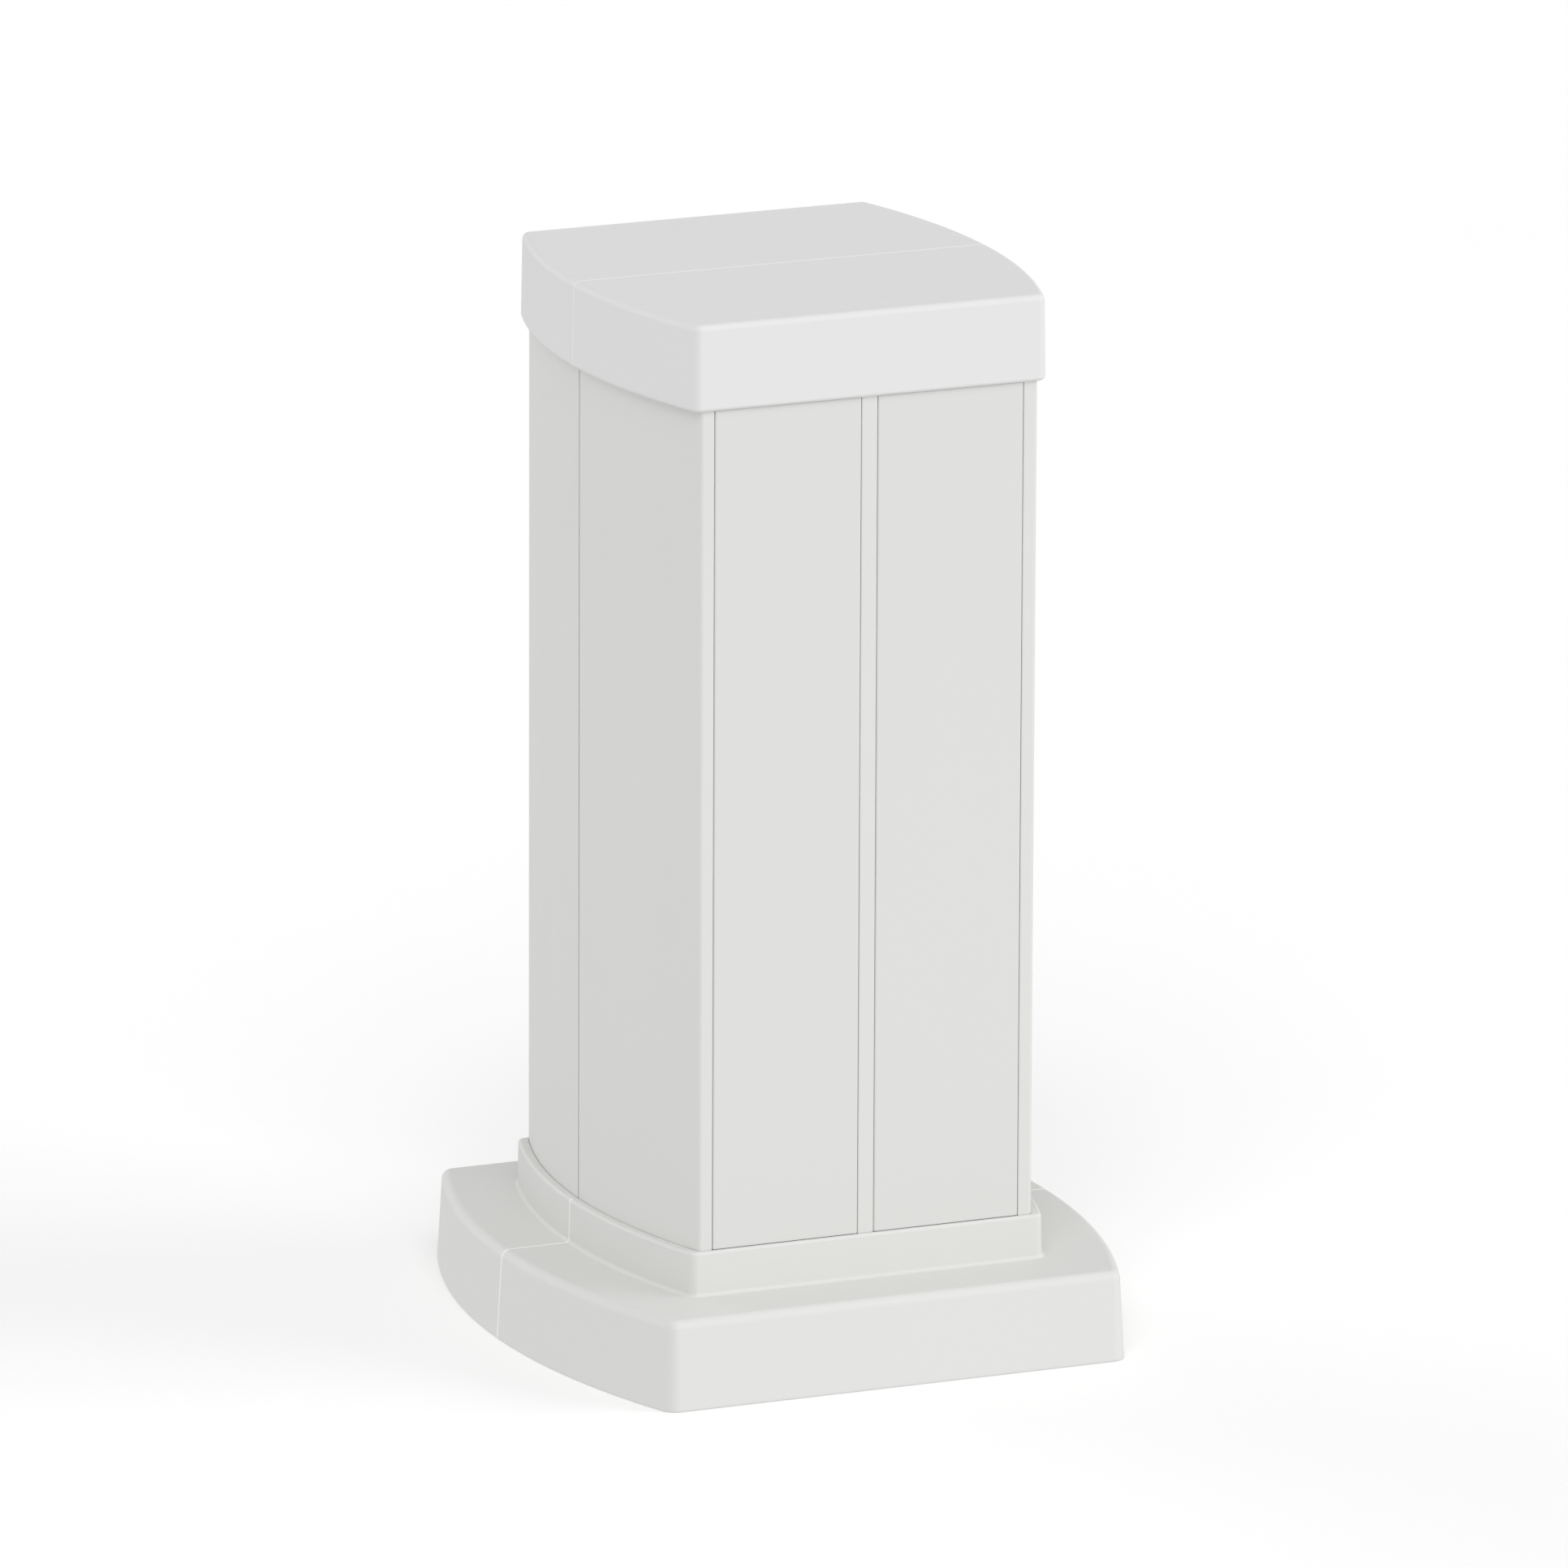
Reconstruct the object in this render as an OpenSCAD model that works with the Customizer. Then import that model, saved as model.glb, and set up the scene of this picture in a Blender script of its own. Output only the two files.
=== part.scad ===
// Low floor-standing service post. Two bowed aluminium extrusions stand back to
// back on a steel floor plate and give four vertical compartments, each 45 mm
// wide at its mouth and closed by a clip-on blanking cover. A two-part cap
// closes the top and a two-part moulded cover hides the floor plate.
// Millimetres, +Z up. Origin on the floor at the centre; the front faces -Y.

/* [Column] */
// Height of the column's top end above the floor
column_top = 283.95; // [230:0.05:600]
// Front to rear depth of the column over both flat faces
column_d = 128.1; // [122:0.1:134]
// How far each bowed side stands out past the flat faces' corners
column_bow = 10.7; // [9:0.1:12.5]
// Width of the flat strip between a cover and the column's corner
edge_w = 4.05; // [3.8:0.05:4.6]
// Width of the flat rib between the two covers of one face
rib_w = 4.8; // [4.4:0.1:5.6]
// Wall thickness of the extrusions
wall = 1.8; // [1.6:0.1:2.2]
// Radius of the column's four vertical corners
corner_r = 1.2; // [0.8:0.1:1.6]
// Chamfer of the hairline groove where the two extrusions meet
seam_groove = 0.25; // [0.1:0.05:0.4]

/* [Compartments and covers] */
// Width of each compartment's mouth
mouth_w = 45; // [44:0.5:48]
// Gap between a cover and the column on each side
cover_gap = 0.15; // [0.1:0.05:0.4]
// Thickness of a cover's face
cover_t = 1.6; // [1.4:0.1:2]
// Length of a cover's clip legs behind its face
leg_len = 6.6; // [5:0.2:8]
// Depth of the channel walls beside each mouth
channel_d = 14; // [13:0.5:16]
// Height of the lower cable retainers' lower edge above the floor
retainer_low = 96; // [80:1:140]
// Height of the upper cable retainers' lower edge above the floor
retainer_high = 196; // [164:1:205]
// Height of one cable retainer
retainer_h = 12; // [8:1:20]

/* [Cap] */
// Height of the cap
cap_h = 25; // [20:0.5:34]
// How far the cap stands out past the column's flat faces
cap_over = 1.25; // [0.8:0.05:2]
// How far the cap stands out past the column's bowed sides
cap_over_side = 2.15; // [1.2:0.05:3]
// Radius round the cap's top edge
cap_top_r = 1.8; // [1:0.1:2.2]
// Radius round the cap's bottom edge
cap_bottom_r = 1.2; // [0.4:0.1:1.2]
// Radius of the cap's vertical corners at its foot
cap_corner_r = 2.9; // [2.6:0.1:4]
// How far the cap tapers in from foot to top on each side
cap_draft = 0.4; // [0:0.05:0.5]
// Wall thickness of the cap
cap_wall = 2.2; // [1.8:0.1:2.6]
// Length of the cap's tongues inside the column
cap_tongue = 12; // [6:1:20]

/* [Base cover] */
// Width of the base cover's flat faces at the floor
base_w = 140.6; // [136:0.2:156]
// Front to rear depth of the base cover at the floor
base_d = 177; // [174:0.5:190]
// How far each bowed side stands out past its corners
base_bow = 17; // [15:0.5:20]
// Height of the plinth part
base_h = 26.2; // [24:0.2:36]
// How far the plinth tapers in from floor to top on each side
base_draft = 1.5; // [0.4:0.1:1.6]
// Radius of the plinth's vertical corners at the floor
base_corner_r = 5; // [4.6:0.2:8]
// Radius round the plinth's top edge
base_top_r = 2.5; // [1:0.1:2.8]
// Height of the collar above the plinth's top
collar_h = 12.9; // [8:0.1:20]
// How far the collar stands out past the column's flat faces
collar_over = 1.75; // [1.5:0.05:2.4]
// How far the collar stands out past the column's bowed sides
collar_over_side = 2.9; // [2.2:0.05:3.6]
// Radius round the collar's top edge
collar_top_r = 0.9; // [0.4:0.1:1]
// Radius of the fillet at the collar's foot
fillet_r = 1.2; // [0.6:0.1:1.6]
// Gap between the collar and the column
collar_gap = 0.15; // [0.1:0.05:0.5]
// Wall thickness of the plinth part
base_wall = 2.5; // [2:0.1:2.8]
// Gap left at the joint between the two halves of the cap and of the base cover
half_gap = 0.12; // [0.06:0.02:0.3]

/* [Floor plate] */
// Width of the floor plate
plate_w = 124; // [120:1:128]
// Front to rear depth of the floor plate
plate_d = 164; // [162:0.5:168]
// Thickness of the floor plate
plate_t = 3; // [3:0.5:4]
// Distance between the floor fixing holes across the plate
fixing_x = 90; // [60:1:100]
// Distance between the floor fixing holes front to rear
fixing_y = 148; // [146:0.5:150]
// Diameter of a floor fixing hole
fixing_d = 7; // [5:0.5:8]
// Width of one cable entry in the plate
entry_w = 32; // [20:1:32]
// Front to rear length of one cable entry
entry_l = 34; // [20:1:34]

/* [Hidden] */
face_w = 2*mouth_w + rib_w + 2*edge_w;
col_h = column_top - plate_t;
top_z = column_top + 0.05 + cap_h;
cap_z = column_top + 0.05;
collar_z = base_h + collar_h;
cover_z0 = collar_z + 0.1;
cover_z1 = cap_z - 0.1;
back_t = 2;
mouth_x = rib_w/2 + mouth_w/2;
ledge_y = -column_d/2 + cover_t + 0.15;
ledge_t = 1.2;
ledge_w = 1;
entry_x = 24;
entry_y = 26;
lead_x = 47;
stud_y = 22;
lead_z = 50;
joint_x = 24;
joint_z = [64, column_top - 42];
n_bow = 26;
n_cor = 6;
n_rnd = 6;
eps = 0.01;

white = [0.93, 0.93, 0.91];
plastic = [0.90, 0.90, 0.88];
zinc = [0.66, 0.67, 0.68];
black = [0.10, 0.10, 0.10];
green = [0.18, 0.50, 0.16];
tin = [0.78, 0.77, 0.74];

// ---------------------------------------------------------------- outlines

// Radius and centre of the arc that bows a side out by b between two corners
// that are d apart.
function bow_r(d, b) = (d*d/4 + b*b) / (2*b);
function bow_c(w, d, b) = w/2 + b - bow_r(d, b);

// Where the corner rounding's centre lies for an outline o = [w, d, bow, r]
// drawn inset by i.
function rr(o, i) = max(o[3] - i, 0.2);
function fy(o, i) = o[1]/2 - i - rr(o, i);
function fx(o, i) = bow_c(o[0], o[1], o[2])
    + sqrt(pow(bow_r(o[1], o[2]) - i - rr(o, i), 2) - pow(fy(o, i), 2));
function phi(o, i) = asin(fy(o, i) / (bow_r(o[1], o[2]) - i - rr(o, i)));

column_o = [face_w, column_d, column_bow, corner_r];
cap_o = [face_w + 2*cap_over_side, column_d + 2*cap_over, column_bow, cap_corner_r];
base_o = [base_w, base_d, base_bow, base_corner_r];
collar_o = [face_w + 2*collar_over_side, column_d + 2*collar_over, column_bow,
            corner_r + collar_over];

// Half-width of an outline at a distance y from the middle, away from corners.
function half_w(o, i, y) = bow_c(o[0], o[1], o[2])
    + sqrt(pow(bow_r(o[1], o[2]) - i, 2) - y*y);

// Exact flat outline with two bowed sides and four rounded corners.
module outline(o, i = 0) {
    R = bow_r(o[1], o[2]) - i;
    c = bow_c(o[0], o[1], o[2]);
    r = rr(o, i);
    x = fx(o, i);
    y = fy(o, i);
    p = phi(o, i);
    difference() {
        intersection() {
            translate([c, 0]) circle(R, $fn = 720);
            translate([-c, 0]) circle(R, $fn = 720);
            square([4*o[0], o[1] - 2*i], center = true);
        }
        for (m = [0, 1], n = [0, 1]) mirror([m, 0]) mirror([0, n]) difference() {
            polygon([[x, y], [x, y + r + 3], [x + 3*r + 3, y + r + 3],
                     [x + (3*r + 3)*cos(p), y + (3*r + 3)*sin(p)]]);
            translate([x, y]) circle(r, $fn = 96);
        }
    }
}

// The same outline as a ring of points, counter-clockwise, for lofts.
function arc(cx, cy, r, a, b, n, skip) =
    [for (k = [skip : n]) let (t = a + (b - a)*k/n) [cx + r*cos(t), cy + r*sin(t)]];
function ring(o, i) = let (
    R = bow_r(o[1], o[2]) - i, c = bow_c(o[0], o[1], o[2]),
    r = rr(o, i), x = fx(o, i), y = fy(o, i), p = phi(o, i)
) concat(
    arc(c, 0, R, -p, p, n_bow, 0),
    arc(x, y, r, p, 90, n_cor, 1),
    arc(-x, y, r, 90, 180 - p, n_cor, 0),
    arc(-c, 0, R, 180 - p, 180 + p, n_bow, 1),
    arc(-x, -y, r, 180 + p, 270, n_cor, 1),
    [for (k = [0 : n_cor - 1]) let (t = 270 + (90 - p)*k/n_cor)
        [x + r*cos(t), -y + r*sin(t)]]
);

// Solid through a list of levels [z, outline, inset].
module loft(levels) {
    rings = [for (l = levels) ring(l[1], l[2])];
    n = len(rings[0]);
    m = len(levels);
    points = [for (k = [0 : m - 1]) for (q = rings[k]) [q[0], q[1], levels[k][0]]];
    sides = [for (k = [0 : m - 2], i = [0 : n - 1])
        let (j = (i + 1) % n, a = k*n + i, b = k*n + j, c = (k + 1)*n + j, d = (k + 1)*n + i)
        each [[a, d, b], [d, c, b]]];
    polyhedron(points, concat([[for (i = [0 : n - 1]) i]],
        sides, [[for (i = [n - 1 : -1 : 0]) (m - 1)*n + i]]), convexity = 6);
}

module rounded_square(w, l, r) {
    square([w - 2*r, l], center = true);
    square([w, l - 2*r], center = true);
    for (x = [-1, 1], y = [-1, 1])
        translate([x*(w/2 - r), y*(l/2 - r)]) circle(r, $fn = 48);
}

// A round bar along Y from y0 to y1.
module bar_y(r, y0, y1) {
    translate([0, y1, 0]) rotate([90, 0, 0]) cylinder(r = r, h = y1 - y0, $fn = 48);
}

module half_turn() { rotate([0, 0, 180]) children(); }

// -------------------------------------------------------------- floor plate

// Screw ports of the front extrusion, as [x, y] for the right-hand side.
ports = [[half_w(column_o, wall, 40) - 3, -40],
         [half_w(column_o, wall, 5.2) - 3.3, -5.2]];

module floor_plate() {
    color(zinc) difference() {
        linear_extrude(plate_t) difference() {
            rounded_square(plate_w, plate_d, 8);
            for (x = [-1, 1], y = [-1, 1]) {
                translate([x*fixing_x/2, y*fixing_y/2]) circle(fixing_d/2, $fn = 48);
                translate([x*entry_x, y*entry_y]) rounded_square(entry_w, entry_l, 6);
            }
        }
        for (p = ports, x = [-1, 1], y = [-1, 1]) translate([x*p[0], y*p[1], 0]) {
            translate([0, 0, -1]) cylinder(r = 2.5, h = plate_t + 2, $fn = 48);
            translate([0, 0, -eps]) cylinder(r1 = 4.46, r2 = 2.4, h = 2.06, $fn = 48);
        }
    }
}

module cable_entry_grommets() {
    color(black) for (x = [-1, 1], y = [-1, 1])
        translate([x*entry_x, y*entry_y, 0]) difference() {
            union() {
                linear_extrude(plate_t + 1.4) rounded_square(entry_w, entry_l, 6);
                translate([0, 0, plate_t]) linear_extrude(1.4)
                    rounded_square(entry_w + 3.6, entry_l + 3.6, 7.8);
            }
            translate([0, 0, -1]) linear_extrude(plate_t + 4)
                rounded_square(entry_w - 2.8, entry_l - 2.8, 4.6);
        }
}

module body_fixing_screws() {
    color(zinc) for (p = ports, x = [-1, 1], y = [-1, 1])
        translate([x*p[0], y*p[1], 0]) difference() {
            union() {
                cylinder(r1 = 4.4, r2 = 2.05, h = 2.35, $fn = 48);
                cylinder(r = 2.05, h = 17, $fn = 48);
            }
            translate([0, 0, -1]) cylinder(r = 1.45, h = 2.2, $fn = 6);
        }
}

// ------------------------------------------------------------------- column

// Cross-section of the front extrusion.
module body_section() {
    y0 = -column_d/2;
    difference() {
        intersection() {
            outline(column_o);
            translate([-100, -100]) square([200, 100]);
            union() {
                difference() {
                    square([200, column_d], center = true);
                    outline(column_o, wall);
                }
                translate([-80, -back_t]) square([160, back_t]);
                // web between the two compartments and the hollow rib in front
                translate([-0.8, y0 + 1]) square([1.6, column_d/2 - 1]);
                translate([-rib_w/2, y0]) square([rib_w, channel_d]);
                // channel walls beside the mouths
                for (s = [-1, 1]) {
                    translate([s*(face_w/2 - edge_w + 0.8) - 0.8, y0])
                        square([1.6, channel_d]);
                    for (p = ports) translate([s*p[0], p[1]]) circle(3.8, $fn = 96);
                }
            }
        }
        // mouths
        for (s = [-1, 1]) translate([s*mouth_x - mouth_w/2, y0 - 1])
            square([mouth_w, wall + 1.5]);
        // hollow inside the rib
        translate([-rib_w/2 + 1.3, y0 + wall]) square([rib_w - 2.6, channel_d - wall - 1.4]);
        // open screw ports
        for (s = [-1, 1]) {
            for (p = ports) translate([s*p[0], p[1]]) circle(2.1, $fn = 96);
            translate([s*ports[0][0] + (s > 0 ? -5 : 0), ports[0][1] - 0.8]) square([5, 1.6]);
            translate([s*ports[1][0] + (s > 0 ? -5 : 0), ports[1][1] - 0.8]) square([5, 1.6]);
        }
        // hairline groove where the extrusions meet
        for (s = [-1, 1]) translate([s*(face_w/2 + column_bow), 0])
            rotate(45) square(seam_groove*sqrt(2), center = true);
    }
    // ledges the covers and the retainers seat on
    for (s = [-1, 1], t = [-1, 1], y = [ledge_y, y0 + channel_d - ledge_t])
        translate([s*mouth_x + t*(mouth_w/2 - ledge_w/2), y + ledge_t/2])
            square([ledge_w, ledge_t], center = true);
}

module body() {
    difference() {
        translate([0, 0, plate_t]) linear_extrude(col_h, convexity = 10) body_section();
        for (x = [-joint_x, joint_x], z = joint_z)
            translate([x, 0, z]) bar_y(2.15, -4, 1);
        for (x = [-lead_x, lead_x]) translate([x, 0, lead_z]) bar_y(2.15, -4, 1);
    }
}

module front_body() { color(white) body(); }
module rear_body() { color(white) half_turn() body(); }

module joining_screws() {
    color(zinc) for (x = [-joint_x, joint_x], z = joint_z) translate([x, 0, z])
        difference() {
            union() {
                bar_y(2.05, -back_t - 1, back_t + 5.4);
                bar_y(3.9, -back_t - 2.6, -back_t);
            }
            translate([0, -back_t - 1.2, 0]) rotate([90, 0, 0])
                cylinder(r = 1.45, h = 3, $fn = 6);
        }
}

module joining_washers() {
    color(zinc) for (x = [-joint_x, joint_x], z = joint_z) translate([x, 0, z])
        difference() {
            bar_y(4.5, back_t, back_t + 0.8);
            bar_y(2.15, back_t - 1, back_t + 2);
        }
}

module joining_nuts() {
    color(zinc) for (x = [-joint_x, joint_x], z = joint_z) translate([x, 0, z])
        difference() {
            translate([0, back_t + 4, 0]) rotate([90, 0, 0]) cylinder(r = 4.04, h = 3.2, $fn = 6);
            bar_y(2.1, 0, back_t + 5);
        }
}

// ------------------------------------------------------------------ bonding

module earth_studs() {
    color(tin) for (a = [0, 180]) rotate([0, 0, a]) translate([-lead_x, -stud_y, plate_t])
        cylinder(r = 2.5, h = 10, $fn = 48);
}

module earth_washers() {
    color(zinc) for (a = [0, 180]) rotate([0, 0, a])
        translate([-lead_x, -stud_y, plate_t + 0.8]) difference() {
            cylinder(r = 4.6, h = 1, $fn = 48);
            translate([0, 0, -1]) cylinder(r = 2.6, h = 3, $fn = 48);
        }
}

module earth_nuts() {
    color(tin) for (a = [0, 180]) rotate([0, 0, a])
        translate([-lead_x, -stud_y, plate_t + 1.8]) difference() {
            cylinder(r = 4.62, h = 4, $fn = 6);
            translate([0, 0, -1]) cylinder(r = 2.55, h = 6, $fn = 48);
        }
}

// Ring tag lying in XY with its ring at the origin and its barrel along +Y.
module ring_tag(hole_r) {
    difference() {
        union() {
            cylinder(r = 4.4, h = 0.8, $fn = 48);
            translate([-1.6, 0, 0]) cube([3.2, 7.5, 0.8]);
            translate([0, 0, 2.25]) bar_y(2.25, 6.5, 12.5);
        }
        translate([0, 0, -1]) cylinder(r = hole_r, h = 3, $fn = 48);
        translate([0, 0, 2.25]) bar_y(1.65, 6, 13);
    }
}

module earth_ring_tags() {
    color(tin) for (a = [0, 180]) rotate([0, 0, a]) {
        translate([-lead_x, -stud_y, plate_t]) ring_tag(2.6);
        translate([-lead_x, -back_t, lead_z]) rotate([90, 0, 0]) mirror([0, 1, 0]) ring_tag(2.15);
    }
}

module earth_lead() {
    z0 = plate_t + 2.25;
    y1 = -back_t - 2.25;
    r = 5;
    translate([-lead_x, 0, 0]) {
        translate([0, 0, z0]) bar_y(1.6, -stud_y + 7.5, y1 - r);
        translate([0, y1 - r, z0 + r]) rotate([90, 0, 90]) rotate([0, 0, -90])
            rotate_extrude(angle = 90, $fn = 96) translate([r, 0]) circle(1.6, $fn = 48);
        translate([0, y1, z0 + r]) cylinder(r = 1.6, h = lead_z - 7.5 - z0 - r, $fn = 48);
    }
}

module earth_lead_front() { color(green) earth_lead(); }
module earth_lead_rear() { color(green) half_turn() earth_lead(); }

module earth_body_screws() {
    color(zinc) for (a = [0, 180]) rotate([0, 0, a])
        translate([-lead_x, 0, lead_z]) difference() {
            union() {
                bar_y(2.05, -back_t - 1, back_t + 1.6);
                bar_y(3.6, -back_t - 3.2, -back_t - 0.8);
            }
            translate([0, -back_t - 2, 0]) rotate([90, 0, 0])
                cylinder(r = 1.45, h = 3, $fn = 6);
        }
}

// --------------------------------------------------------------- retainers

module retainer() {
    y = -column_d/2 + channel_d;
    w = mouth_w/2;
    translate([0, 0, -retainer_h/2]) linear_extrude(retainer_h) {
        translate([-w + 0.3, y - ledge_t - 1.9]) square([mouth_w - 0.6, 1.8]);
        for (s = [-1, 1]) {
            translate([s*(w - 2) - 0.7, y - 2]) square([1.4, 3.4]);
            translate([s*(w - 1.5) - 1.2, y + 0.1]) square([2.4, 1.3]);
        }
    }
}

module cable_retainers() {
    color(plastic) for (a = [0, 180]) rotate([0, 0, a])
        for (x = [-mouth_x, mouth_x], z = [retainer_low, retainer_high])
            translate([x, 0, z + retainer_h/2]) retainer();
}

// ------------------------------------------------------------------ covers

module cover() {
    y0 = -column_d/2;
    w = mouth_w/2 - cover_gap;
    r = 0.5;
    translate([0, 0, cover_z0]) linear_extrude(cover_z1 - cover_z0) {
        difference() {
            translate([-w, y0]) square([2*w, cover_t]);
            for (s = [-1, 1]) translate([s*(w - r/2) - r/2 - eps*(s < 0 ? 1 : 0), y0 - eps])
                square([r + eps, r + eps]);
        }
        for (s = [-1, 1]) {
            translate([s*(w - r), y0 + r]) circle(r, $fn = 48);
            // clip leg, bead and foot stiffener
            translate([s*(mouth_w/2 - 2.2) - 0.6, y0 + cover_t - eps])
                square([1.2, leg_len - 0.6]);
            translate([s*(mouth_w/2 - 2.2), y0 + cover_t + leg_len - 0.6]) circle(0.6, $fn = 48);
            translate([s*(mouth_w/2 - 1.8), y0 + cover_t + 2.6]) circle(0.6, $fn = 48);
        }
        // two shallow stiffening ribs inside the face
        for (x = [-7, 7]) translate([x - 0.5, y0 + cover_t - eps]) square([1, 1.6]);
    }
}

module cover_front_left() { color(plastic) translate([-mouth_x, 0, 0]) cover(); }
module cover_front_right() { color(plastic) translate([mouth_x, 0, 0]) cover(); }
module cover_rear_left() { color(plastic) half_turn() translate([mouth_x, 0, 0]) cover(); }
module cover_rear_right() { color(plastic) half_turn() translate([-mouth_x, 0, 0]) cover(); }

// --------------------------------------------------------------------- cap

module cap() {
    z0 = cap_z;
    z1 = top_z;
    rb = cap_bottom_r;
    rt = cap_top_r;
    d = cap_draft/(z1 - z0);
    lower = [for (k = [0 : n_rnd]) let (a = 90*k/n_rnd)
        [z0 + rb*(1 - cos(a)), cap_o, rb*(1 - sin(a)) + d*rb*(1 - cos(a))]];
    upper = [for (k = [0 : n_rnd]) let (a = 90*k/n_rnd)
        [z1 - rt*(1 - sin(a)), cap_o, cap_draft - d*rt*(1 - sin(a)) + rt*(1 - cos(a))]];
    yb = -back_t - 0.3;
    difference() {
        union() {
            difference() {
                loft(concat(lower, upper));
                loft([[z0 - 1, cap_o, cap_wall + 0.2], [z0 + 2, cap_o, cap_wall + 0.2],
                      [z1 - cap_wall - 1.2, cap_o, cap_wall + cap_draft],
                      [z1 - cap_wall - 0.6, cap_o, cap_wall + cap_draft + 0.3],
                      [z1 - cap_wall - 0.2, cap_o, cap_wall + cap_draft + 1]]);
            }
            // tongues that drop into the column
            for (s = [-1, 1]) {
                translate([s*26 - 13, yb - 2, z0 - cap_tongue])
                    cube([26, 2, cap_tongue + cap_h - cap_wall]);
                translate([s*(half_w(column_o, wall, 34) - 1.3) - 1, -34, z0 - cap_tongue])
                    cube([2, 14, cap_tongue + cap_h - cap_wall]);
            }
            // stiffening rib down the middle of the roof
            translate([-0.8, -column_d/2 + 2, z1 - cap_wall - 4]) cube([1.6, column_d/2 - 2, 4]);
        }
        translate([-200, -half_gap/2, 0]) cube([400, 200, 2*z1]);
    }
}

module cap_front() { color(plastic) cap(); }
module cap_rear() { color(plastic) half_turn() cap(); }

// -------------------------------------------------------------- base cover

module base_cover() {
    g = base_draft/base_h;
    rt = base_top_r;
    rf = fillet_r;
    rc = collar_top_r;
    roof = base_h - base_wall;
    in_c = 0.2;
    side = half_w(base_o, base_wall, 0) - base_draft;
    plinth = concat(
        [[0, base_o, 0.3], [0.3, base_o, 0]],
        [for (k = [0 : n_rnd]) let (a = 90*k/n_rnd)
            [base_h - rt*(1 - sin(a)), base_o, base_draft - g*rt*(1 - sin(a)) + rt*(1 - cos(a))]]);
    collar = concat(
        [for (k = [0 : n_rnd]) let (a = 90*k/n_rnd)
            [base_h + rf*(1 - cos(a)), collar_o, -rf*(1 - sin(a))]],
        [for (k = [0 : n_rnd]) let (a = 90*k/n_rnd)
            [collar_z - rc*(1 - sin(a)), collar_o, in_c + rc*(1 - cos(a))]]);
    difference() {
        union() {
            difference() {
                loft(concat(plinth, collar));
                loft([[-1, base_o, base_wall], [roof - 3, base_o, base_wall + base_draft],
                      [roof - 1, base_o, base_wall + base_draft + 0.6],
                      [roof, base_o, base_wall + base_draft + 2.2]]);
            }
            // gussets under the roof of the plinth
            for (x = [-22, 22]) translate([x - 0.8, -base_d/2 + base_wall, 10])
                cube([1.6, (base_d - column_d)/2 - base_wall - 1.5, roof - 9]);
            // tongue on the right, pocket on the left
            translate([side - 3.9, -10, 4]) cube([2, 18, 14]);
            translate([side - 3.9, -10, 4]) cube([5, 5, 14]);
            difference() {
                translate([-side - 1, -10, 1.6]) cube([7.6, 9, 18.8]);
                translate([-side + 1.6, -11, 3.6]) cube([2.6, 12, 14.8]);
            }
        }
        translate([0, 0, -1]) linear_extrude(collar_z + 2) outline(column_o, -collar_gap);
        difference() {
            translate([-200, -half_gap/2, -1]) cube([400, 200, 200]);
            translate([side - 4, -1, 3]) cube([2.2, 12, 16]);
        }
    }
}

module base_cover_front() { color(plastic) base_cover(); }
module base_cover_rear() { color(plastic) half_turn() base_cover(); }

// ----------------------------------------------------------------- display

floor_plate();
cable_entry_grommets();
front_body();
rear_body();
body_fixing_screws();
joining_screws();
joining_washers();
joining_nuts();
earth_studs();
earth_washers();
earth_nuts();
earth_ring_tags();
earth_lead_front();
earth_lead_rear();
earth_body_screws();
cable_retainers();
cap_front();
cap_rear();
base_cover_front();
base_cover_rear();
cover_front_left();
cover_front_right();
cover_rear_left();
cover_rear_right();
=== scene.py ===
"""Looks for the floor service post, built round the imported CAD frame."""

import math

import bmesh
import bpy
import numpy as np
from mathutils import Matrix, Vector
from mathutils.geometry import delaunay_2d_cdt


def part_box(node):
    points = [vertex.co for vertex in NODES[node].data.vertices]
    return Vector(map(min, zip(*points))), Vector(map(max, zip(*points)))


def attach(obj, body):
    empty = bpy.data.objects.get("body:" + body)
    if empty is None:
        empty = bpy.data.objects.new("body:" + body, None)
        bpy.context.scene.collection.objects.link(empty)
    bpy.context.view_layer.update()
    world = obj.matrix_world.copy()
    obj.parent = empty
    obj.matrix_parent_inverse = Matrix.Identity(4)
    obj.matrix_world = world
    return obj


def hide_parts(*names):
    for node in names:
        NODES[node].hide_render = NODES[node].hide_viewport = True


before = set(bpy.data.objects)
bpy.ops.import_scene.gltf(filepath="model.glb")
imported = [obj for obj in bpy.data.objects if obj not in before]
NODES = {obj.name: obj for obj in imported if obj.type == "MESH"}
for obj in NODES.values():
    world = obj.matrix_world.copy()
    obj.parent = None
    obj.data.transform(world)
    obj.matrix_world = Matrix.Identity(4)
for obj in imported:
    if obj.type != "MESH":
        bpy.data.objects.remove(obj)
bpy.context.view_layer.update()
MM = 0.001


def mm_box(node):
    lo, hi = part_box(node)
    return [v / MM for v in lo], [v / MM for v in hi]


# ------------------------------------------------------------------ materials


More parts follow.
